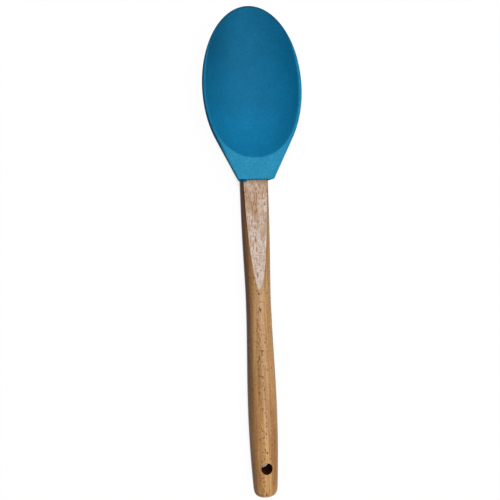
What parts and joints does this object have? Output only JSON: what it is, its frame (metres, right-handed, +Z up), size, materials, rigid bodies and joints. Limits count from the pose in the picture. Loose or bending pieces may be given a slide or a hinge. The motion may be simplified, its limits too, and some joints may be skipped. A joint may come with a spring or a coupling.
{
  "type": "silicone spoon",
  "caption": "Cooking spoon with a shallow oval silicone bowl moulded over a stiff core, on an oval wooden handle with a bevelled neck and a hanging hole.",
  "frame": {"origin": "on the surface that the spoon lies on, under the middle of its length", "axes": "+Y towards the tip of the bowl, +Z up out of the open bowl, +X to the right seen from above"},
  "size_m": [0.0634, 0.3096, 0.0166],
  "materials": {
    "silicone": "matt moulded blue silicone",
    "nylon": "moulded dark nylon, hidden inside the head",
    "wood": "sanded beech with an oiled finish"
  },
  "bodies": {
    "root": {"silicone_head": "silicone", "stiffening_core": "nylon", "wooden_handle": "wood"}
  },
  "joints": []
}
